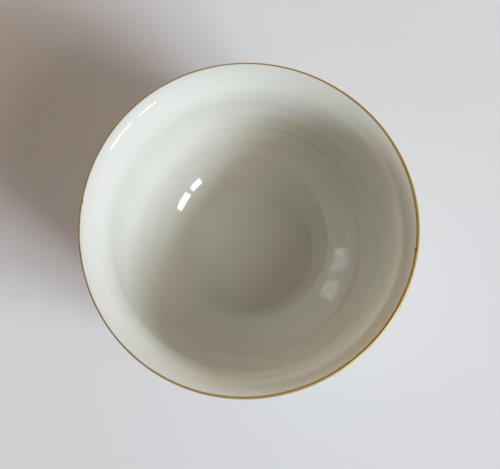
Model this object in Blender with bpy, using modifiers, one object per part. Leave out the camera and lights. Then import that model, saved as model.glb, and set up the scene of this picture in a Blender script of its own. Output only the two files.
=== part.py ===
"""A thrown porcelain bowl with a flared lip, a flat well and a turned foot ring.

Metres, +Z up. The origin is on the turning axis, level with the surface that the foot stands on.
The whole bowl is one turned solid: its profile runs up the inside, round the lip, down the outside,
round the foot ring and across the recess under the base.
"""

import math

import bpy

# The inside, from the well to the lip. A slope is measured up from level, along the wall.
RIM_RADIUS = 0.0575
WELL_RADIUS = 0.0241
WELL_SLOPE = math.radians(1.5)
WELL_EDGE_WIDTH = 0.0014
WELL_EDGE_SLOPE = math.radians(23.4)
BELLY_RADIUS = 0.0379
BELLY_SLOPE = math.radians(45)
SHOULDER_SLOPE = math.radians(82)
WALL_LEAN = 0.0019
WAIST_RADIUS = 0.0476
WAIST_SLOPE = math.radians(85.2)
LIP_SLOPE = math.radians(27.8)

# Thickness of the body: at the lip, at the waist, low on the wall and under the well
LIP_THICKNESS = 0.0013
WAIST_THICKNESS = 0.0022
HEEL_THICKNESS = 0.0036
BASE_THICKNESS = 0.0031

# The foot ring and the recess that it surrounds
FOOT_RADIUS = 0.0232
FOOT_WIDTH = 0.0034
FOOT_TAPER = 0.0005
FOOT_CHAMFER = 0.0005
HEEL_FILLET = 0.0016
RECESS_DEPTH = 0.0054
RECESS_FILLET = 0.0014

# Fineness of the turned surface
TURN_STEPS = 84
WELL_STEPS = 2
EDGE_STEPS = 3
BELLY_STEPS = 3
SHOULDER_STEPS = 6
WAIST_STEPS = 2
FLARE_STEPS = 6
LIP_ROUND_STEPS = 6
FILLET_STEPS = 3
MERGE_DISTANCE = 0.00001

PORCELAIN_COLOUR = (0.80, 0.83, 0.81, 1.0)
PORCELAIN_ROUGHNESS = 0.12


class Station:
    """A place on the inside of the bowl: its radius, its height and the slope of the wall there."""

    def __init__(self, radius, height, slope):
        self.radius = radius
        self.height = height
        self.slope = slope

    def through_wall(self, distance):
        """The point at this distance into the wall, square to the inside surface."""
        radius = self.radius + distance * math.sin(self.slope)
        height = self.height - distance * math.cos(self.slope)
        return (radius, height)


def mix(first, second, share):
    """The value at this share of the way from first to second, held between them."""
    return first + (second - first) * min(max(share, 0.0), 1.0)


def sweep(start, end_radius, end_slope, steps):
    """Stations on the arc that leaves start smoothly and reaches this radius at this slope."""
    arc_radius = (end_radius - start.radius) / (math.sin(end_slope) - math.sin(start.slope))
    stations = []
    for step in range(1, steps + 1):
        slope = mix(start.slope, end_slope, step / steps)
        radius = start.radius + arc_radius * (math.sin(slope) - math.sin(start.slope))
        height = start.height + arc_radius * (math.cos(start.slope) - math.cos(slope))
        stations.append(Station(radius, height, slope))
    return stations


def lip_inner_radius():
    """Where the inside ends and the round of the lip begins, so that the rim keeps its radius."""
    return RIM_RADIUS - LIP_THICKNESS / 2 * (1 + math.sin(LIP_SLOPE))


def inside_stations():
    """Stations along the inside, from the middle of the well to the lip."""
    centre = Station(0.0, RECESS_DEPTH + BASE_THICKNESS, 0.0)
    well = sweep(centre, WELL_RADIUS - WELL_EDGE_WIDTH, WELL_SLOPE, WELL_STEPS)
    edge = sweep(well[-1], WELL_RADIUS, WELL_EDGE_SLOPE, EDGE_STEPS)
    belly = sweep(edge[-1], BELLY_RADIUS, BELLY_SLOPE, BELLY_STEPS)
    shoulder = sweep(belly[-1], WAIST_RADIUS - WALL_LEAN, SHOULDER_SLOPE, SHOULDER_STEPS)
    waist = sweep(shoulder[-1], WAIST_RADIUS, WAIST_SLOPE, WAIST_STEPS)
    flare = sweep(waist[-1], lip_inner_radius(), LIP_SLOPE, FLARE_STEPS)
    return [centre] + well + edge + belly + shoulder + waist + flare


def wall_thickness(radius):
    """Thickness of the wall at this radius of the inside: thin at the lip, thick towards the foot."""
    if radius > WAIST_RADIUS:
        share = (radius - WAIST_RADIUS) / (lip_inner_radius() - WAIST_RADIUS)
        return mix(WAIST_THICKNESS, LIP_THICKNESS, share)
    share = (radius - WELL_RADIUS) / (WAIST_RADIUS - WELL_RADIUS)
    return mix(HEEL_THICKNESS, WAIST_THICKNESS, share)


def lip_round(end):
    """The half circle over the edge of the lip, between the inside and the outside."""
    centre_radius, centre_height = end.through_wall(LIP_THICKNESS / 2)
    points = []
    for step in range(1, LIP_ROUND_STEPS):
        angle = end.slope + math.pi / 2 - math.pi * step / LIP_ROUND_STEPS
        radius = centre_radius + LIP_THICKNESS / 2 * math.cos(angle)
        height = centre_height + LIP_THICKNESS / 2 * math.sin(angle)
        points.append((radius, height))
    return points


def trim(points, radius):
    """The points outside this radius, with a last one exactly on it."""
    kept = [point for point in points if point[0] > radius]
    outer = kept[-1]
    inner = points[len(kept)]
    share = (outer[0] - radius) / (outer[0] - inner[0])
    return kept + [(radius, mix(outer[1], inner[1], share))]


def rounded(before, corner, after):
    """The points that round off a corner, from before to after."""
    points = []
    for step in range(FILLET_STEPS + 1):
        share = step / FILLET_STEPS
        first = [mix(a, b, share) for a, b in zip(before, corner)]
        second = [mix(a, b, share) for a, b in zip(corner, after)]
        points.append(tuple(mix(a, b, share) for a, b in zip(first, second)))
    return points


def foot_points(wall):
    """The foot ring and the recess, from the low end of the outer wall to the middle of the base."""
    fillet_radius, fillet_height = wall[-1]
    wall_slope = (wall[-2][1] - fillet_height) / (wall[-2][0] - fillet_radius)
    heel_height = fillet_height - wall_slope * HEEL_FILLET
    heel = rounded(wall[-1], (FOOT_RADIUS, heel_height), (FOOT_RADIUS, heel_height - HEEL_FILLET))

    outer_radius = FOOT_RADIUS - FOOT_TAPER
    inner_radius = FOOT_RADIUS - FOOT_WIDTH + FOOT_TAPER
    ring = [
        (outer_radius, FOOT_CHAMFER),
        (outer_radius - FOOT_CHAMFER, 0.0),
        (inner_radius + FOOT_CHAMFER, 0.0),
        (inner_radius, FOOT_CHAMFER),
    ]

    recess_radius = FOOT_RADIUS - FOOT_WIDTH
    recess = rounded(
        (recess_radius, RECESS_DEPTH - RECESS_FILLET),
        (recess_radius, RECESS_DEPTH),
        (recess_radius - RECESS_FILLET, RECESS_DEPTH),
    )
    return heel[1:] + ring + recess + [(0.0, RECESS_DEPTH)]


def bowl_profile():
    """The closed outline of half a section, from the middle of the well to the middle of the base."""
    stations = inside_stations()
    inside = [(station.radius, station.height) for station in stations]
    outside = [station.through_wall(wall_thickness(station.radius)) for station in reversed(stations)]
    wall = trim(outside, FOOT_RADIUS + HEEL_FILLET)
    return inside + lip_round(stations[-1]) + wall + foot_points(wall)


def porcelain():
    """White porcelain under a clear, slightly green glaze. The gold line on the lip is colour alone."""
    material = bpy.data.materials.new("Glazed porcelain")
    material.use_nodes = True
    shader = material.node_tree.nodes["Principled BSDF"]
    shader.inputs["Base Color"].default_value = PORCELAIN_COLOUR
    shader.inputs["Roughness"].default_value = PORCELAIN_ROUGHNESS
    shader.inputs["Metallic"].default_value = 0.0
    return material


def turn(name, profile, material):
    """An object turned from a profile about the Z axis."""
    mesh = bpy.data.meshes.new(name)
    vertices = [(radius, 0.0, height) for radius, height in profile]
    edges = [(index, index + 1) for index in range(len(profile) - 1)]
    mesh.from_pydata(vertices, edges, [])
    mesh.materials.append(material)

    turned = bpy.data.objects.new(name, mesh)
    screw = turned.modifiers.new("Turning", "SCREW")
    screw.axis = "Z"
    screw.angle = math.tau
    screw.steps = TURN_STEPS
    screw.render_steps = TURN_STEPS
    screw.use_merge_vertices = True
    screw.merge_threshold = MERGE_DISTANCE
    screw.use_smooth_shade = True
    return turned


def main():
    """Clears the scene and builds the bowl in its own collection."""
    for old in list(bpy.data.objects):
        bpy.data.objects.remove(old)
    collection = bpy.data.collections.new("Porcelain bowl")
    bpy.context.scene.collection.children.link(collection)
    collection.objects.link(turn("bowl", bowl_profile(), porcelain()))


main()
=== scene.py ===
"""The looks of a gilt-lipped porcelain rice bowl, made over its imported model.

Metres, +Z up, with the bowl on its foot at the origin. The bowl is one piece: a fine turned mesh that
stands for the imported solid, dressed in clear glaze, a brushed gold line on the lip and bare biscuit
where the foot stands.
"""

import logging
import math
from dataclasses import dataclass, field
from enum import Enum
from typing import Any

import bpy
from mathutils import Matrix, Vector


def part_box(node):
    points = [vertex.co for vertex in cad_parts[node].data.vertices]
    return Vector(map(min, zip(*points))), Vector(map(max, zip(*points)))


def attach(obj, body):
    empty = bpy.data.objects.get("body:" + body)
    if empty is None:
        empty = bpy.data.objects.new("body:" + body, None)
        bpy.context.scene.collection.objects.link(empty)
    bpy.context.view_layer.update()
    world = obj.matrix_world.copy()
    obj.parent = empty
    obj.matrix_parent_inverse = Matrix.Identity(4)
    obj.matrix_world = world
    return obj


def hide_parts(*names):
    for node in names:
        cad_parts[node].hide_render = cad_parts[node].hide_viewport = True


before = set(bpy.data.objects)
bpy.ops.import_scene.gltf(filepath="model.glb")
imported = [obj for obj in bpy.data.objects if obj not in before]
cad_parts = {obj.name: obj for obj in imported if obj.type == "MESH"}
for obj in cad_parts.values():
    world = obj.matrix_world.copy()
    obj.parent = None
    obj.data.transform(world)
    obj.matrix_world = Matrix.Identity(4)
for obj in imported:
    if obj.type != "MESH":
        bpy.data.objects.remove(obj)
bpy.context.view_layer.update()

MM = 0.001

# The colour inputs and output of a Mix node
MIX_FIRST, MIX_SECOND, MIX_RESULT = 6, 7, 2

# The value that a noise texture swings about, and the place of the curve for all channels of the view
NOISE_MEAN = 0.5
ALL_CHANNELS = 3

log = logging.getLogger("porcelain_bowl")

Point = tuple[float, float]
Tree = bpy.types.NodeTree
Node = bpy.types.Node
Material = bpy.types.Material


class Zone(Enum):
    """The zones of the bowl that are finished differently, by the name of the input for each."""

    GLAZE = "Glaze"
    GILDING = "Gilding"
    BISCUIT = "Biscuit"


class Mark(Enum):
    """The values that the turned mesh carries for its shaders and for choosing zones."""

    LIP_DISTANCE = "lip_distance"
    STATION = "station"
    RELIEF = "relief"


def linear(code: str) -> tuple[float, float, float, float]:
    """Turns an sRGB colour into the linear one that shaders and lamps take.

    Args:
        code: The colour as a hex code, such as "#EDEFEA".

    Returns:
        Linear red, green and blue, and an alpha of 1.
    """
    channels = [int(code[start:start + 2], 16) / 255 for start in (1, 3, 5)]
    toned = [c / 12.92 if c <= 0.04045 else ((c + 0.055) / 1.055) ** 2.4 for c in channels]
    return (toned[0], toned[1], toned[2], 1.0)


def add_node(
    tree: Tree, kind: str, *values: Any, inputs: dict[Any, Any] | None = None, **settings: Any
) -> Node:
    """Adds a node to a tree.

    Args:
        tree: The node tree.
        kind: The node's type name.
        *values: What its first inputs hold, in order. A node stands for its first output.
        inputs: The same for other inputs, by name or number.
        **settings: The node's own properties.

    Returns:
        The new node.
    """
    node = tree.nodes.new(kind)
    for name, value in settings.items():
        setattr(node, name, value)
    for key, value in {**dict(enumerate(values)), **(inputs or {})}.items():
        if isinstance(value, Node):
            value = value.outputs[0]
        if isinstance(value, bpy.types.NodeSocket):
            tree.links.new(value, node.inputs[key])
        else:
            node.inputs[key].default_value = value
    return node


def new_material(name: str, **inputs: Any) -> tuple[Material, Tree, Node]:
    """Starts a material.

    Args:
        name: The material's name.
        **inputs: What the shader's own sockets hold, with underscores for the spaces in their names.

    Returns:
        The material, its tree and its shader.
    """
    material = bpy.data.materials.new(name)
    material.use_nodes = True
    shader = material.node_tree.nodes["Principled BSDF"]
    for key, value in inputs.items():
        shader.inputs[key.replace("_", " ")].default_value = value
    return material, material.node_tree, shader


def mix(first: float, second: float, share: float) -> float:
    """The value at this share of the way from first to second, held between them."""
    return first + (second - first) * min(max(share, 0.0), 1.0)


@dataclass(frozen=True)
class Station:
    """A place on the inside of the bowl.

    Attributes:
        radius: Distance from the turning axis.
        height: Height above the floor.
        slope: Slope of the wall there, up from level.
    """

    radius: float
    height: float
    slope: float

    def through_wall(self, distance: float) -> Point:
        """The point at this distance into the wall, square to the inside surface."""
        radius = self.radius + distance * math.sin(self.slope)
        height = self.height - distance * math.cos(self.slope)
        return (radius, height)


@dataclass(frozen=True)
class BowlShape:
    """The bowl's outline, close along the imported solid's and with finer steps.

    A slope is measured up from level, along the wall. The rim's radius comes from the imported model. Low
    on the wall a band is almost straight, where the potter's rib was pressed to it, and the flare opens
    slowly before it curls over to the lip.
    """

    rim_radius: float
    well_radius: float = 24.1 * MM
    well_slope: float = math.radians(1.5)
    well_edge_width: float = 1.4 * MM
    well_edge_slope: float = math.radians(23.4)
    band_start: float = 32.3 * MM
    band_start_slope: float = math.radians(35.0)
    band_end: float = 35.8 * MM
    band_end_slope: float = math.radians(37.2)
    belly_radius: float = 37.9 * MM
    belly_slope: float = math.radians(45)
    shoulder_radius: float = 46.05 * MM
    shoulder_slope: float = math.radians(82)
    waist_radius: float = 47.6 * MM
    waist_slope: float = math.radians(85.2)
    curl_start: float = 49.5 * MM
    curl_start_slope: float = math.radians(70)
    lip_slope: float = math.radians(24)

    lip_thickness: float = 1.3 * MM
    waist_thickness: float = 2.2 * MM
    heel_thickness: float = 3.6 * MM
    base_thickness: float = 3.1 * MM

    foot_radius: float = 23.2 * MM
    foot_width: float = 3.4 * MM
    foot_taper: float = 0.5 * MM
    foot_chamfer: float = 0.5 * MM
    heel_fillet: float = 1.6 * MM
    recess_depth: float = 5.4 * MM
    recess_fillet: float = 1.4 * MM

    well_steps: int = 14
    edge_steps: int = 7
    heel_steps: int = 8
    band_steps: int = 8
    belly_steps: int = 4
    shoulder_steps: int = 16
    waist_steps: int = 8
    flare_steps: int = 7
    curl_steps: int = 16
    lip_steps: int = 14
    fillet_steps: int = 6
    flat_steps: int = 3

    @property
    def lip_inner_radius(self) -> float:
        """Where the inside ends and the round of the lip begins."""
        return self.rim_radius - self.lip_thickness / 2 * (1 + math.sin(self.lip_slope))

    @staticmethod
    def sweep(start: Station, end_radius: float, end_slope: float, steps: int) -> list[Station]:
        """Follows the arc that leaves a station smoothly.

        Args:
            start: Where the arc starts.
            end_radius: Distance from the turning axis at its end.
            end_slope: Slope at its end.
            steps: How many stations it takes.

        Returns:
            The stations after start, the end among them.
        """
        arc = (end_radius - start.radius) / (math.sin(end_slope) - math.sin(start.slope))
        stations = []
        for step in range(1, steps + 1):
            slope = mix(start.slope, end_slope, step / steps)
            radius = start.radius + arc * (math.sin(slope) - math.sin(start.slope))
            height = start.height + arc * (math.cos(start.slope) - math.cos(slope))
            stations.append(Station(radius, height, slope))
        return stations

    def inside(self) -> list[Station]:
        """The stations from the middle of the well up to the lip."""
        centre = Station(0.0, self.recess_depth + self.base_thickness, 0.0)
        flat_radius = self.well_radius - self.well_edge_width
        well = self.sweep(centre, flat_radius, self.well_slope, self.well_steps)
        edge = self.sweep(well[-1], self.well_radius, self.well_edge_slope, self.edge_steps)
        heel = self.sweep(edge[-1], self.band_start, self.band_start_slope, self.heel_steps)
        band = self.sweep(heel[-1], self.band_end, self.band_end_slope, self.band_steps)
        belly = self.sweep(band[-1], self.belly_radius, self.belly_slope, self.belly_steps)
        shoulder = self.sweep(belly[-1], self.shoulder_radius, self.shoulder_slope, self.shoulder_steps)
        waist = self.sweep(shoulder[-1], self.waist_radius, self.waist_slope, self.waist_steps)
        flare = self.sweep(waist[-1], self.curl_start, self.curl_start_slope, self.flare_steps)
        curl = self.sweep(flare[-1], self.lip_inner_radius, self.lip_slope, self.curl_steps)
        return [centre] + well + edge + heel + band + belly + shoulder + waist + flare + curl

    def thickness(self, radius: float) -> float:
        """Thickness of the wall at this radius of the inside: thin at the lip, thick at the foot."""
        if radius > self.waist_radius:
            share = (radius - self.waist_radius) / (self.lip_inner_radius - self.waist_radius)
            return mix(self.waist_thickness, self.lip_thickness, share)
        share = (radius - self.well_radius) / (self.waist_radius - self.well_radius)
        return mix(self.heel_thickness, self.waist_thickness, share)

    def lip(self, end: Station) -> list[Point]:
        """The half circle over the edge of the lip, from the inside round to the outside.

        Args:
            end: The last station of the inside.

        Returns:
            The points between the inside and the outside, the tip of the lip in the middle.
        """
        centre_radius, centre_height = end.through_wall(self.lip_thickness / 2)
        points = []
        for step in range(1, self.lip_steps):
            angle = end.slope + math.pi / 2 - math.pi * step / self.lip_steps
            radius = centre_radius + self.lip_thickness / 2 * math.cos(angle)
            height = centre_height + self.lip_thickness / 2 * math.sin(angle)
            points.append((radius, height))
        return points

    def rounded(self, before: Point, corner: Point, after: Point) -> list[Point]:
        """The points that round off a corner.

        Args:
            before: Where the rounding starts.
            corner: The sharp corner that it takes off.
            after: Where it ends.

        Returns:
            The points from before to after, both among them.
        """
        points = []
        for step in range(self.fillet_steps + 1):
            share = step / self.fillet_steps
            first = [mix(a, b, share) for a, b in zip(before, corner)]
            second = [mix(a, b, share) for a, b in zip(corner, after)]
            points.append((mix(first[0], second[0], share), mix(first[1], second[1], share)))
        return points

    def foot(self, wall: list[Point]) -> list[Point]:
        """The foot ring and the recess under the base.

        Args:
            wall: The outside of the wall, from the lip down.

        Returns:
            The points from the end of the wall to the middle of the base.
        """
        wall_slope = (wall[-2][1] - wall[-1][1]) / (wall[-2][0] - wall[-1][0])
        heel_height = wall[-1][1] - wall_slope * self.heel_fillet
        heel_end = (self.foot_radius, heel_height - self.heel_fillet)
        heel = self.rounded(wall[-1], (self.foot_radius, heel_height), heel_end)

        outer = self.foot_radius - self.foot_taper
        inner = self.foot_radius - self.foot_width + self.foot_taper
        chamfer = self.foot_chamfer
        outer_edge = self.rounded((outer, chamfer), (outer, 0.0), (outer - chamfer, 0.0))
        inner_edge = self.rounded((inner + chamfer, 0.0), (inner, 0.0), (inner, chamfer))

        wall_radius = self.foot_radius - self.foot_width
        depth, fillet = self.recess_depth, self.recess_fillet
        recess = self.rounded(
            (wall_radius, depth - fillet), (wall_radius, depth), (wall_radius - fillet, depth)
        )
        steps = range(1, self.flat_steps + 1)
        flat = [(recess[-1][0] * (1 - step / self.flat_steps), depth) for step in steps]
        return heel[1:] + outer_edge + inner_edge + recess + flat

    def outline(self) -> tuple[list[Point], int]:
        """The closed outline of half a section.

        Returns:
            The points from the middle of the well, over the lip, to the middle of the base, and the
            number of the point at the tip of the lip.
        """
        stations = self.inside()
        inside = [(station.radius, station.height) for station in stations]
        lip = self.lip(stations[-1])
        outside = [station.through_wall(self.thickness(station.radius)) for station in reversed(stations)]
        start = self.foot_radius + self.heel_fillet
        wall = [point for point in outside if point[0] > start]
        outer, inner = wall[-1], outside[len(wall)]
        wall.append((start, mix(outer[1], inner[1], (outer[0] - start) / (outer[0] - inner[0]))))
        return inside + lip + wall + self.foot(wall), len(inside) + len(lip) // 2


@dataclass(frozen=True)
class GlazedPorcelain:
    """Hard-paste porcelain under a clear feldspar glaze, fired glossy in one firing.

    The body scatters light a little way in, so thin walls glow and shadows on it stay soft. The glaze
    is slightly green where it is thick, in loose clouds, and bands of painted shade darken it along the
    rings of the wheel. It mirrors lamps sharply and has faint ripples like orange peel.
    """

    body: str = "#D3D3C9"
    darker_tone: str = "#CBCCC0"
    ior: float = 1.5
    roughness: float = 0.05
    # Painted shade in bands along the wheel's rings: its colour, and how fast it comes in with their relief.
    ring: str = "#B3B09E"
    ring_shade_share: float = 2.2
    cloud_size: float = 14 * MM
    cloud_detail: float = 3.0
    ripple_size: float = 4.5 * MM
    ripple_depth: float = 0.006 * MM
    scatter: float = 0.2
    scatter_colour: tuple[float, float, float] = (1.0, 0.9, 0.75)
    scatter_depth: float = 1.5 * MM

    def material(self) -> Material:
        """Builds the shader."""
        material, tree, shader = new_material(
            "Glazed porcelain",
            Roughness=self.roughness,
            IOR=self.ior,
            Subsurface_Weight=self.scatter,
            Subsurface_Radius=self.scatter_colour,
            Subsurface_Scale=self.scatter_depth,
        )
        place = add_node(tree, "ShaderNodeTexCoord").outputs["Object"]
        clouds = add_node(
            tree, "ShaderNodeTexNoise", place,
            inputs={"Scale": 1 / self.cloud_size, "Detail": self.cloud_detail},
        )
        tint = add_node(
            tree, "ShaderNodeMix", clouds,
            inputs={MIX_FIRST: linear(self.body), MIX_SECOND: linear(self.darker_tone)}, data_type="RGBA",
        )
        relief = add_node(tree, "ShaderNodeAttribute", attribute_name=Mark.RELIEF.value).outputs["Fac"]
        # Painted shade: the glaze darkens in bands that follow the rings' relief, most where the rings are
        # deepest.
        darker_tone = add_node(
            tree, "ShaderNodeMath", relief, -self.ring_shade_share, operation="MULTIPLY", use_clamp=True
        )
        tint = add_node(
            tree, "ShaderNodeMix", darker_tone,
            inputs={MIX_FIRST: tint.outputs[MIX_RESULT], MIX_SECOND: linear(self.ring)}, data_type="RGBA",
        )
        ripples = add_node(tree, "ShaderNodeTexNoise", place, inputs={"Scale": 1 / self.ripple_size})
        bump = add_node(tree, "ShaderNodeBump", inputs={"Height": ripples, "Distance": self.ripple_depth})
        tree.links.new(tint.outputs[MIX_RESULT], shader.inputs["Base Color"])
        tree.links.new(bump.outputs["Normal"], shader.inputs["Normal"])
        return material


@dataclass(frozen=True)
class WornSpot:
    """A spot where the gilding is rubbed or chipped to the dull body.

    Attributes:
        side: Its azimuth, counter-clockwise from +X.
        lip_distance: How far inside the tip of the lip its middle lies.
        size: Its radius.
    """

    side: float
    lip_distance: float
    size: float


@dataclass(frozen=True)
class BrushedGilding:
    """Liquid bright gold, brushed round the lip and fired on.

    It is a mirror-like film over white glaze, so thin that some of the light scatters back through it. It
    is brown where the brush ran dry, with fine streaks along the stroke and a few rubbed spots.
    """

    gold: str = "#E4C277"
    thin: str = "#B08E50"
    worn: str = "#5E4A38"
    cover: float = 0.62
    roughness: float = 0.28
    rough_streak: float = 0.4
    streak_length: float = 9 * MM
    streak_width: float = 0.25 * MM
    streak_detail: float = 4.0
    streak_low: float = 0.35
    streak_high: float = 0.7
    rubbed_through: float = 0.5
    worn_spots: tuple[WornSpot, ...] = (
        WornSpot(math.radians(-7.6), 0.75 * MM, 0.55 * MM),
        WornSpot(math.radians(-61.6), 0.6 * MM, 0.3 * MM),
    )

    def material(self, rim_radius: float, rim_height: float) -> Material:
        """Builds the shader.

        Args:
            rim_radius: Distance of the lip's tip from the turning axis.
            rim_height: Height of the lip.

        Returns:
            The material.
        """
        material, tree, shader = new_material("Brushed bright gold", Metallic=self.cover)
        place = add_node(tree, "ShaderNodeTexCoord").outputs["Object"]
        across = add_node(tree, "ShaderNodeAttribute", attribute_name=Mark.LIP_DISTANCE.value).outputs["Fac"]
        flat = add_node(tree, "ShaderNodeVectorMath", place, (1.0, 1.0, 0.0), operation="MULTIPLY")
        stretch = self.streak_length / self.streak_width
        lifted = add_node(tree, "ShaderNodeMath", across, stretch, operation="MULTIPLY")
        stroke = add_node(tree, "ShaderNodeCombineXYZ", inputs={"Z": lifted})
        brushed = add_node(tree, "ShaderNodeVectorMath", flat, stroke, operation="ADD")
        streaks = add_node(
            tree, "ShaderNodeTexNoise", brushed,
            inputs={"Scale": 1 / self.streak_length, "Detail": self.streak_detail},
        )
        rough = add_node(
            tree, "ShaderNodeMapRange", streaks, self.streak_low, self.streak_high,
            self.roughness, self.rough_streak,
        )
        tint = add_node(
            tree, "ShaderNodeMix", streaks,
            inputs={MIX_FIRST: linear(self.gold), MIX_SECOND: linear(self.thin)}, data_type="RGBA",
        )
        for spot in self.worn_spots:
            radius = rim_radius - spot.lip_distance
            centre = (radius * math.cos(spot.side), radius * math.sin(spot.side), rim_height)
            away = add_node(tree, "ShaderNodeVectorMath", place, centre, operation="DISTANCE")
            rubbed = add_node(
                tree, "ShaderNodeMapRange", away.outputs["Value"], spot.size, spot.size * self.rubbed_through
            )
            tint = add_node(
                tree, "ShaderNodeMix", rubbed,
                inputs={MIX_FIRST: tint.outputs[MIX_RESULT], MIX_SECOND: linear(self.worn)}, data_type="RGBA",
            )
        tree.links.new(tint.outputs[MIX_RESULT], shader.inputs["Base Color"])
        tree.links.new(rough.outputs["Result"], shader.inputs["Roughness"])
        return material


@dataclass(frozen=True)
class BareBiscuit:
    """Unglazed porcelain at the standing edge of the foot, wiped clean of glaze before firing.

    It is matt and slightly warm, with a fine grit and the grey that use rubs into it.
    """

    clay: str = "#E4DED2"
    rubbed: str = "#B9AFA1"
    roughness: float = 0.78
    grit_size: float = 0.35 * MM
    grit_depth: float = 0.02 * MM
    rub_size: float = 6 * MM
    rub_detail: float = 6.0

    def material(self) -> Material:
        """Builds the shader."""
        material, tree, shader = new_material("Bare biscuit porcelain", Roughness=self.roughness)
        place = add_node(tree, "ShaderNodeTexCoord").outputs["Object"]
        rubs = add_node(
            tree, "ShaderNodeTexNoise", place, inputs={"Scale": 1 / self.rub_size, "Detail": self.rub_detail}
        )
        grit = add_node(tree, "ShaderNodeTexNoise", place, inputs={"Scale": 1 / self.grit_size})
        tint = add_node(
            tree, "ShaderNodeMix", rubs,
            inputs={MIX_FIRST: linear(self.clay), MIX_SECOND: linear(self.rubbed)}, data_type="RGBA",
        )
        bump = add_node(tree, "ShaderNodeBump", inputs={"Height": grit, "Distance": self.grit_depth})
        tree.links.new(tint.outputs[MIX_RESULT], shader.inputs["Base Color"])
        tree.links.new(bump.outputs["Normal"], shader.inputs["Normal"])
        return material


@dataclass(frozen=True)
class MattLaminate:
    """Pale matt laminate, the plain floor under the bowl."""

    colour: str = "#D9D8DA"
    roughness: float = 0.6

    def material(self) -> Material:
        """Builds the shader."""
        return new_material("Pale matt laminate", Base_Color=linear(self.colour), Roughness=self.roughness)[0]


@dataclass(frozen=True)
class Gilding:
    """Where the gold line runs, measured along the wall from the tip of the lip.

    Attributes:
        inside: How far it reaches down the inside, before the brush's unevenness.
        outside: How far it reaches down the outside.
        narrow: The same as inside, where the line is narrowest.
        wide: The same, on the side where it is widest.
        wide_side: The azimuth of that side.
        narrow_facing: Cosine of the angle from that side at which it has become narrow.
        margin: How far past the line the surface is stretched to make room.
        wander: How far its edge strays as the brush went round.
        wander_rate: How often it does.
        drip_side: Azimuth of the one place where the gold ran a little down the inside.
        drip_depth: How far it ran.
        drip_spread: Half the width of the run, as a share of the rim's radius.
    """

    inside: float = 1.0 * MM
    outside: float = 1.1 * MM
    narrow: float = 0.75 * MM
    wide: float = 1.45 * MM
    wide_side: float = math.radians(-25)
    narrow_facing: float = -0.4
    margin: float = 2.5 * MM
    wander: float = 0.25 * MM
    wander_rate: float = 9.0
    drip_side: float = math.radians(170.7)
    drip_depth: float = 0.5 * MM
    drip_spread: float = 0.014


@dataclass(frozen=True)
class WheelMarks:
    """The low rings that a thrower's fingers leave round the wall.

    Attributes:
        depth: Height from the bottom of a ring to its top.
        spacing: Distance from ring to ring along the wall.
        seed: Picks one run of rings.
        drift: How much a ring changes on its way round.
        start: Radius of the inside where they begin.
        full: Radius where they have their whole depth.
        lip_clear: How far from the lip they have gone.
        lip_full: How far from it they have their whole depth.
        deep_side: Azimuth of the side whose inside lies in shade, where the rings and the painted
        shade along them are deepest.
        faint: Share of the depth that is left on the other side.
        deep_facing: Cosine of the angle from the deep side up to which the depth stays whole.
        faint_facing: The same, past which only the faint share is left.
    """

    depth: float = 0.08 * MM
    spacing: float = 3.2 * MM
    seed: float = 5.0
    drift: float = 0.6
    start: float = 30.0 * MM
    full: float = 40.0 * MM
    lip_clear: float = 2.5 * MM
    lip_full: float = 7.0 * MM
    deep_side: float = math.radians(-10)
    faint: float = 0.3
    deep_facing: float = 0.5
    faint_facing: float = -0.5


@dataclass(frozen=True)
class KilnWarp:
    """How far the rim went out of round in the kiln, in two lobes and in three."""

    oval: float = 0.15 * MM
    oval_side: float = math.radians(20)
    trefoil: float = 0.26 * MM
    trefoil_side: float = 0.0


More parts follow.
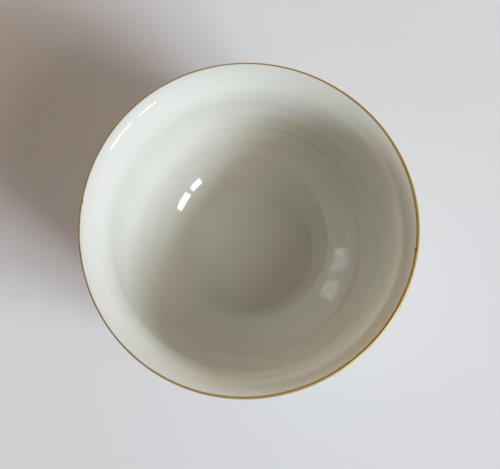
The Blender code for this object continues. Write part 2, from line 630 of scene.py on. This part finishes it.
class TurningTree:
    """The node tree that turns an outline round the axis, marks it, warps it and dresses its zones."""

    SOCKETS = {int: "NodeSocketInt", float: "NodeSocketFloat", Material: "NodeSocketMaterial"}

    def __init__(self, values: dict[str, int | float | Material]) -> None:
        """Starts the tree.

        Args:
            values: What each named input holds.
        """
        self.values = values
        self.tree = bpy.data.node_groups.new("Turn the bowl", "GeometryNodeTree")
        self.tree.interface.new_socket("Outline", in_out="INPUT", socket_type="NodeSocketGeometry")
        for name, value in values.items():
            self.tree.interface.new_socket(name, in_out="INPUT", socket_type=self.SOCKETS[type(value)])
        self.tree.interface.new_socket("Bowl", in_out="OUTPUT", socket_type="NodeSocketGeometry")
        self.given = add_node(self.tree, "NodeGroupInput").outputs

    def gilt_edge(self, lip_distance: Node, angle: Any, around: Node) -> Node:
        """Slides the wall's points so that the gold line's lower edge strays as it was brushed.

        Args:
            lip_distance: Distance of each point from the tip of the lip, along the wall.
            angle: Its azimuth.
            around: A unit vector at that azimuth.

        Returns:
            The distance that each point has after sliding.
        """
        tree, given = self.tree, self.given
        turned = add_node(tree, "ShaderNodeMath", angle, given["Gilt Wide Side"], operation="SUBTRACT")
        facing = add_node(tree, "ShaderNodeMath", turned, operation="COSINE")
        width = add_node(
            tree, "ShaderNodeMapRange", facing, given["Gilt Narrow Facing"], 1.0,
            given["Gilt Narrow"], given["Gilt Wide"],
        )
        noise = add_node(tree, "ShaderNodeTexNoise", around, inputs={"Scale": given["Gilt Wander Rate"]})
        swing = add_node(tree, "ShaderNodeMath", noise, NOISE_MEAN, operation="SUBTRACT")
        drip = add_node(
            tree, "ShaderNodeVectorRotate", (1.0, 0.0, 0.0),
            inputs={"Angle": given["Gilt Drip Side"]}, rotation_type="Z_AXIS",
        )
        off = add_node(tree, "ShaderNodeVectorMath", around, drip, operation="DISTANCE")
        run = add_node(
            tree, "ShaderNodeMapRange", off.outputs["Value"], 0.0, given["Gilt Drip Spread"],
            given["Gilt Drip Depth"], 0.0,
        )
        reach = add_node(tree, "ShaderNodeMath", width, run, operation="ADD")
        strayed = add_node(
            tree, "ShaderNodeMath", swing, given["Gilt Wander"], reach, operation="MULTIPLY_ADD"
        )
        shift = add_node(tree, "ShaderNodeMath", strayed, given["Gilt Inside"], operation="SUBTRACT")
        past = add_node(tree, "ShaderNodeMath", given["Gilt Inside"], given["Gilt Margin"], operation="ADD")
        left = add_node(tree, "ShaderNodeMath", past, lip_distance, operation="SUBTRACT")
        fall = add_node(tree, "ShaderNodeMath", left, given["Gilt Margin"], operation="DIVIDE")
        rise = add_node(tree, "ShaderNodeMath", lip_distance, given["Gilt Inside"], operation="DIVIDE")
        peak = add_node(tree, "ShaderNodeMath", rise, fall, operation="MINIMUM")
        share = add_node(tree, "ShaderNodeMath", peak, 0.0, operation="MAXIMUM")
        return add_node(tree, "ShaderNodeMath", share, shift, lip_distance, operation="MULTIPLY_ADD")

    def wheel_marks(self, along: Any, angle: Any, lip_distance: Node, radius: Any, around: Node) -> Node:
        """Raises the low rings of the wheel.

        Args:
            along: Distance of each point along the outline.
            angle: Its azimuth.
            lip_distance: Its distance from the tip of the lip.
            radius: Its distance from the turning axis.
            around: A unit vector at its azimuth.

        Returns:
            How far each point is raised, square to the wall, as a share of a ring's depth.
        """
        tree, given = self.tree, self.given
        turns = add_node(tree, "ShaderNodeMath", along, given["Ring Spacing"], operation="DIVIDE")
        lift = add_node(tree, "ShaderNodeCombineXYZ", inputs={"Z": turns})
        place = add_node(
            tree, "ShaderNodeVectorMath", around, given["Ring Drift"], lift, operation="MULTIPLY_ADD"
        )
        rings = add_node(
            tree, "ShaderNodeTexNoise", place,
            inputs={"W": given["Ring Seed"], "Scale": 1.0, "Detail": 1.0}, noise_dimensions="4D",
        )
        swing = add_node(tree, "ShaderNodeMath", rings, NOISE_MEAN, operation="SUBTRACT")
        on_wall = add_node(tree, "ShaderNodeMapRange", radius, given["Ring Start"], given["Ring Full"])
        off_lip = add_node(tree, "ShaderNodeMath", lip_distance, operation="ABSOLUTE")
        clear = add_node(
            tree, "ShaderNodeMapRange", off_lip, given["Ring Lip Clear"], given["Ring Lip Full"]
        )
        # The rings, and the painted shade that follows their relief, are deepest on the side whose inside
        # lies in shade.
        turned = add_node(tree, "ShaderNodeMath", angle, given["Ring Deep Side"], operation="SUBTRACT")
        facing = add_node(tree, "ShaderNodeMath", turned, operation="COSINE")
        pressed = add_node(
            tree, "ShaderNodeMapRange", facing, given["Ring Faint Facing"], given["Ring Deep Facing"],
            given["Ring Faint"], 1.0,
        )
        shown = add_node(tree, "ShaderNodeMath", on_wall, clear, operation="MULTIPLY")
        strong = add_node(tree, "ShaderNodeMath", shown, pressed, operation="MULTIPLY")
        return add_node(tree, "ShaderNodeMath", swing, strong, operation="MULTIPLY")

    def kiln_warp(self, angle: Any, height: Any) -> Node:
        """Sets the rim a little out of round.

        Args:
            angle: Azimuth of each point.
            height: Its height.

        Returns:
            How far each point moves out from the axis.
        """
        tree, given = self.tree, self.given
        rise = add_node(tree, "ShaderNodeMath", height, given["Rim Height"], operation="DIVIDE")
        softness = add_node(tree, "ShaderNodeMath", rise, rise, operation="MULTIPLY")
        total: Any = 0.0
        for name, lobes in (("Oval", 2.0), ("Trefoil", 3.0)):
            turned = add_node(tree, "ShaderNodeMath", angle, given[f"{name} Side"], operation="SUBTRACT")
            waves = add_node(tree, "ShaderNodeMath", turned, lobes, operation="MULTIPLY")
            wave = add_node(tree, "ShaderNodeMath", waves, operation="COSINE")
            total = add_node(tree, "ShaderNodeMath", wave, given[name], total, operation="MULTIPLY_ADD")
        return add_node(tree, "ShaderNodeMath", total, softness, operation="MULTIPLY")

    def dress(self, bowl: Node) -> Node:
        """Gives each zone its material.

        Args:
            bowl: The turned mesh.

        Returns:
            The same, with its materials set.
        """
        tree, given = self.tree, self.given
        station = add_node(tree, "GeometryNodeInputNamedAttribute", Mark.STATION.value, data_type="FLOAT")
        above = add_node(tree, "ShaderNodeMath", station, given["Gilt Inside"], operation="LESS_THAN")
        below_lip = add_node(tree, "ShaderNodeMath", given["Gilt Outside"], -1.0, operation="MULTIPLY")
        within = add_node(tree, "ShaderNodeMath", station, below_lip, operation="GREATER_THAN")
        gilt = add_node(tree, "ShaderNodeMath", above, within, operation="MULTIPLY")
        place = add_node(tree, "ShaderNodeSeparateXYZ", add_node(tree, "GeometryNodeInputPosition"))
        height = place.outputs["Z"]
        bare = add_node(tree, "ShaderNodeMath", height, given["Bare Height"], operation="LESS_THAN")
        for zone, chosen in ((Zone.GLAZE, True), (Zone.GILDING, gilt), (Zone.BISCUIT, bare)):
            bowl = add_node(tree, "GeometryNodeSetMaterial", bowl, chosen, given[zone.value])
        return bowl

    def build(self) -> Tree:
        """Joins the steps.

        Returns:
            The finished tree.
        """
        tree, given = self.tree, self.given
        curve = add_node(tree, "GeometryNodeMeshToCurve", given["Outline"])
        counted = add_node(tree, "GeometryNodeAttributeDomainSize", given["Outline"])
        columns = add_node(tree, "ShaderNodeMath", given["Turn Steps"], 1.0, operation="ADD")
        last = add_node(tree, "ShaderNodeMath", counted, 1.0, operation="SUBTRACT")
        grid = add_node(tree, "GeometryNodeMeshGrid", last, math.tau, counted, columns)
        place = add_node(tree, "ShaderNodeSeparateXYZ", add_node(tree, "GeometryNodeInputPosition")).outputs
        row = add_node(tree, "ShaderNodeMath", last, 0.5, place["X"], operation="MULTIPLY_ADD")
        nearest = add_node(tree, "ShaderNodeMath", row, operation="ROUND")
        angle = place["Y"]
        around = add_node(
            tree, "ShaderNodeVectorRotate", (1.0, 0.0, 0.0), inputs={"Angle": angle}, rotation_type="Z_AXIS"
        )

        travelled = add_node(tree, "GeometryNodeSplineParameter").outputs["Length"]
        along = add_node(
            tree, "GeometryNodeSampleIndex", curve,
            inputs={"Value": travelled, "Index": nearest}, data_type="FLOAT", domain="POINT",
        )
        lip_distance = add_node(tree, "ShaderNodeMath", given["Lip Place"], along, operation="SUBTRACT")
        slid = self.gilt_edge(lip_distance, angle, around)
        reached = add_node(tree, "ShaderNodeMath", given["Lip Place"], slid, operation="SUBTRACT")
        section = add_node(
            tree, "GeometryNodeSampleCurve", curve, inputs={"Length": reached}, mode="LENGTH"
        )
        at = add_node(tree, "ShaderNodeSeparateXYZ", section.outputs["Position"]).outputs

        relief = self.wheel_marks(along, angle, lip_distance, at["X"], around)
        raised = add_node(tree, "ShaderNodeMath", relief, given["Ring Depth"], operation="MULTIPLY")
        tangent = section.outputs["Tangent"]
        inward = add_node(
            tree, "ShaderNodeVectorMath", tangent, (0.0, -1.0, 0.0), operation="CROSS_PRODUCT"
        )
        ridge = add_node(tree, "ShaderNodeVectorMath", inward, inputs={"Scale": raised}, operation="SCALE")
        warp = add_node(tree, "ShaderNodeCombineXYZ", self.kiln_warp(angle, at["Z"]))
        moved = add_node(tree, "ShaderNodeVectorMath", ridge, warp, operation="ADD")
        marked = add_node(tree, "ShaderNodeVectorMath", section.outputs["Position"], moved, operation="ADD")
        turned = add_node(
            tree, "ShaderNodeVectorRotate", marked, inputs={"Angle": angle}, rotation_type="Z_AXIS"
        )

        mesh = grid
        for mark, value in ((Mark.LIP_DISTANCE, slid), (Mark.STATION, lip_distance), (Mark.RELIEF, relief)):
            mesh = add_node(
                tree, "GeometryNodeStoreNamedAttribute", mesh,
                inputs={"Name": mark.value, "Value": value}, data_type="FLOAT", domain="POINT",
            )
        shaped = add_node(tree, "GeometryNodeSetPosition", mesh, inputs={"Position": turned})
        closed = add_node(
            tree, "GeometryNodeMergeByDistance", shaped, inputs={"Distance": given["Merge Distance"]}
        )
        smooth = add_node(tree, "GeometryNodeSetShadeSmooth", closed)
        whole = add_node(tree, "GeometryNodeRealizeInstances", smooth)
        add_node(tree, "NodeGroupOutput", self.dress(whole))
        return tree


@dataclass
class TurnedBowl:
    """The bowl itself: an outline turned round the axis, with the marks of the wheel and the kiln."""

    shape: BowlShape
    glaze: GlazedPorcelain = field(default_factory=GlazedPorcelain)
    gold: BrushedGilding = field(default_factory=BrushedGilding)
    biscuit: BareBiscuit = field(default_factory=BareBiscuit)
    gilding: Gilding = field(default_factory=Gilding)
    wheel: WheelMarks = field(default_factory=WheelMarks)
    warp: KilnWarp = field(default_factory=KilnWarp)
    turn_steps: int = 432
    merge_distance: float = 0.002 * MM

    def build(self) -> bpy.types.Object:
        """Builds the finished bowl as a plain mesh.

        Returns:
            The bowl's object.
        """
        points, tip = self.shape.outline()
        lip_place = sum(math.dist(a, b) for a, b in zip(points[:tip], points[1:tip + 1]))
        points = self.with_point_at(points, lip_place - self.gilding.inside)
        points = self.with_point_at(points, lip_place + self.gilding.outside)
        builder = TurningTree(self.inputs(lip_place, max(height for _, height in points)))
        tree = builder.build()

        blank = bpy.data.meshes.new("bowl outline")
        corners = [(radius, 0.0, height) for radius, height in points]
        blank.from_pydata(corners, [(index, index + 1) for index in range(len(points) - 1)], [])
        turned = bpy.data.objects.new("bowl blank", blank)
        bpy.context.scene.collection.objects.link(turned)
        modifier = turned.modifiers.new("Turning", "NODES")
        modifier.node_group = tree
        for item in tree.interface.items_tree:
            if item.name in builder.values:
                modifier[item.identifier] = builder.values[item.name]
        bpy.context.view_layer.update()
        mesh = bpy.data.meshes.new_from_object(turned.evaluated_get(bpy.context.evaluated_depsgraph_get()))
        mesh.name = "porcelain bowl"
        mesh.attributes.remove(mesh.attributes[Mark.STATION.value])
        while mesh.materials[0] is None:
            mesh.materials.pop(index=0)
        bpy.data.objects.remove(turned)
        bowl = bpy.data.objects.new("porcelain_bowl", mesh)
        bpy.context.scene.collection.objects.link(bowl)
        return bowl

    def inputs(self, lip_place: float, rim_height: float) -> dict[str, int | float | Material]:
        """The value of each input of the turning tree.

        Args:
            lip_place: How far along the outline the tip of the lip lies.
            rim_height: Height of the lip.

        Returns:
            The values by name.
        """
        gilding, wheel, warp = self.gilding, self.wheel, self.warp
        return {
            "Turn Steps": self.turn_steps,
            "Merge Distance": self.merge_distance,
            "Lip Place": lip_place,
            "Rim Height": rim_height,
            "Gilt Inside": gilding.inside,
            "Gilt Outside": gilding.outside,
            "Gilt Narrow": gilding.narrow,
            "Gilt Narrow Facing": gilding.narrow_facing,
            "Gilt Wide": gilding.wide,
            "Gilt Wide Side": gilding.wide_side,
            "Gilt Margin": gilding.margin,
            "Gilt Wander": gilding.wander,
            "Gilt Wander Rate": gilding.wander_rate,
            "Gilt Drip Side": gilding.drip_side,
            "Gilt Drip Depth": gilding.drip_depth,
            "Gilt Drip Spread": gilding.drip_spread,
            "Ring Depth": wheel.depth,
            "Ring Spacing": wheel.spacing,
            "Ring Seed": wheel.seed,
            "Ring Drift": wheel.drift,
            "Ring Start": wheel.start,
            "Ring Full": wheel.full,
            "Ring Lip Clear": wheel.lip_clear,
            "Ring Lip Full": wheel.lip_full,
            "Ring Deep Side": wheel.deep_side,
            "Ring Faint": wheel.faint,
            "Ring Deep Facing": wheel.deep_facing,
            "Ring Faint Facing": wheel.faint_facing,
            "Oval": warp.oval,
            "Oval Side": warp.oval_side,
            "Trefoil": warp.trefoil,
            "Trefoil Side": warp.trefoil_side,
            "Bare Height": self.shape.foot_chamfer,
            Zone.GLAZE.value: self.glaze.material(),
            Zone.GILDING.value: self.gold.material(self.shape.rim_radius, rim_height),
            Zone.BISCUIT.value: self.biscuit.material(),
        }

    @staticmethod
    def with_point_at(points: list[Point], place: float) -> list[Point]:
        """Adds a point to an outline.

        Args:
            points: The outline.
            place: How far along the outline the new point lies.

        Returns:
            The outline with the new point.
        """
        travelled = 0.0
        for index, (start, end) in enumerate(zip(points, points[1:])):
            length = math.dist(start, end)
            if travelled + length > place:
                share = (place - travelled) / length
                point = (mix(start[0], end[0], share), mix(start[1], end[1], share))
                return points[:index + 1] + [point] + points[index + 1:]
            travelled += length
        return points


@dataclass(frozen=True)
class SoftBox:
    """A flat, evenly lit box of light, far off and turned to the bowl.

    Its place and its size are angles in degrees, as the bowl sees them.

    Attributes:
        name: The lamp's name.
        side: Azimuth of its middle, counter-clockwise from +X.
        rise: Elevation of its middle.
        width: How wide it looks.
        height: How high it looks.
        brightness: Its radiance.
        colour: Its colour as a hex code.
        mirrored: Whether the glaze mirrors it, or only the floor and the body catch its light.
    """

    name: str
    side: float
    rise: float
    width: float
    height: float
    brightness: float
    colour: str
    mirrored: bool = False

    def build(self, middle: Vector, distance: float) -> bpy.types.Object:
        """Hangs the box.

        Args:
            middle: The point it is turned to.
            distance: How far from there it hangs.

        Returns:
            The lamp's object.
        """
        side, rise = math.radians(self.side), math.radians(self.rise)
        toward = Vector((math.cos(side) * math.cos(rise), math.sin(side) * math.cos(rise), math.sin(rise)))
        lamp = bpy.data.lights.new(self.name, "AREA")
        lamp.shape = "RECTANGLE"
        lamp.size = 2 * distance * math.tan(math.radians(self.width) / 2)
        lamp.size_y = 2 * distance * math.tan(math.radians(self.height) / 2)
        lamp.color = linear(self.colour)[:3]
        lamp.energy = self.brightness * math.pi * lamp.size * lamp.size_y
        box = bpy.data.objects.new(self.name, lamp)
        turn = (-toward).to_track_quat("-Z", "Y").to_matrix().to_4x4()
        box.matrix_world = Matrix.Translation(middle + toward * distance) @ turn
        box.visible_glossy = self.mirrored
        bpy.context.scene.collection.objects.link(box)
        return box


@dataclass
class Studio:
    """The pale floor, two bright boxes with the haze of light round them, and wide dim fills."""

    rim_height: float
    floor: MattLaminate = field(default_factory=MattLaminate)
    floor_size: float = 6.0
    light_distance: float = 2.0
    boxes: tuple[SoftBox, ...] = (
        SoftBox("Near bright box", -28.2, 31.8, 11.5, 5.1, 58.0, "#E6F3FF", mirrored=True),
        SoftBox("Far bright box", -44.5, 31.2, 8.2, 4.0, 63.0, "#E6F3FF", mirrored=True),
        SoftBox("Main soft box", -34.0, 24.5, 29.2, 9.0, 35.0, "#E6F3FF"),
        SoftBox("Low haze box", -33.0, 7.0, 65.6, 8.0, 7.0, "#DDEEFF"),
        SoftBox("High haze box", -35.0, 45.0, 30.0, 18.0, 4.6, "#FFEEDD"),
        SoftBox("Far fill", 110.0, 19.0, 117.0, 30.0, 1.05, "#FFEEDF"),
        SoftBox("High fill", 110.0, 47.0, 99.0, 26.0, 0.62, "#FFE2C8"),
        SoftBox("Side fill", 220.0, 47.0, 43.0, 26.0, 0.5, "#FFE6CE"),
    )
    haze_colour: str = "#FFE8D0"
    haze_strength: float = 0.04

    def build(self) -> None:
        """Lays the floor and lights it."""
        mesh = bpy.data.meshes.new("pale floor")
        half = self.floor_size / 2
        corners = [(-half, -half, 0.0), (half, -half, 0.0), (half, half, 0.0), (-half, half, 0.0)]
        mesh.from_pydata(corners, [], [(0, 1, 2, 3)])
        mesh.materials.append(self.floor.material())
        floor = bpy.data.objects.new("pale_floor", mesh)
        bpy.context.scene.collection.objects.link(floor)
        middle = Vector((0.0, 0.0, self.rim_height))
        for box in self.boxes:
            box.build(middle, self.light_distance)
        world = bpy.data.worlds.new("Dim warm haze")
        bpy.context.scene.world = world
        world.use_nodes = True
        background = world.node_tree.nodes["Background"]
        background.inputs["Color"].default_value = linear(self.haze_colour)
        background.inputs["Strength"].default_value = self.haze_strength


@dataclass(frozen=True)
class CameraTone:
    """How the camera sets down brightness: straight up to a knee, then more and more gently to white."""

    knee: float = 0.62
    shoulder: Point = (1.0, 0.84)
    white: float = 2.2

    def apply(self) -> None:
        """Sets the scene's view."""
        view = bpy.context.scene.view_settings
        view.view_transform = "Standard"
        view.use_curve_mapping = True
        view.curve_mapping.clip_max_x = self.white
        curve = view.curve_mapping.curves[ALL_CHANNELS]
        curve.points[1].location = (self.white, 1.0)
        for point in ((self.knee, self.knee), self.shoulder):
            curve.points.new(*point)
        view.curve_mapping.update()


@dataclass(frozen=True)
class Viewpoint:
    """The camera above the bowl, a little to the near side, looking almost straight down."""

    rim_height: float
    side_step: float = 7.25 * MM
    step_back: float = 61.8 * MM
    rise: float = 417.6 * MM
    aim_side: float = 0.7 * MM
    aim_back: float = 2.33 * MM
    lens: float = 90.36
    sensor: float = 36.0

    def build(self) -> bpy.types.Object:
        """Sets up the camera.

        Returns:
            The camera's object.
        """
        data = bpy.data.cameras.new("Camera")
        data.lens = self.lens
        data.sensor_width = self.sensor
        camera = bpy.data.objects.new("Camera", data)
        eye = Vector((self.side_step, -self.step_back, self.rim_height + self.rise))
        target = Vector((self.aim_side, -self.aim_back, self.rim_height))
        forward = (target - eye).normalized()
        right = forward.cross(Vector((0.0, 1.0, 0.0))).normalized()
        turned = Matrix((right, right.cross(forward), -forward)).transposed()
        camera.matrix_world = Matrix.Translation(eye) @ turned.to_4x4()
        bpy.context.scene.collection.objects.link(camera)
        bpy.context.scene.camera = camera
        return camera


def main() -> None:
    """Builds the bowl, its light and its camera, and reports each."""
    logging.basicConfig(level=logging.INFO, format="%(name)s: %(message)s")
    low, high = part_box("bowl")
    bowl = TurnedBowl(BowlShape(rim_radius=(high.x - low.x) / 2)).build()
    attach(bowl, "root")
    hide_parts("bowl")
    triangles = sum(len(face.vertices) - 2 for face in bowl.data.polygons)
    sides = [round(side / MM, 2) for side in bowl.dimensions]
    log.info("%s: %d triangles, %s mm", bowl.name, triangles, sides)

    studio = Studio(high.z)
    studio.build()
    log.info("studio: %d soft boxes over a %.1f m floor", len(studio.boxes), studio.floor_size)
    camera = Viewpoint(high.z).build()
    above = (camera.location.z - high.z) / MM
    log.info("camera: %.0f mm lens, %.0f mm above the rim", camera.data.lens, above)
    CameraTone().apply()
    # A bright box seen through two mirrors in the glaze keeps its brightness.
    bpy.context.scene.cycles.sample_clamp_indirect = 0.0
    bpy.context.view_layer.update()


if __name__ == "__main__":
    main()
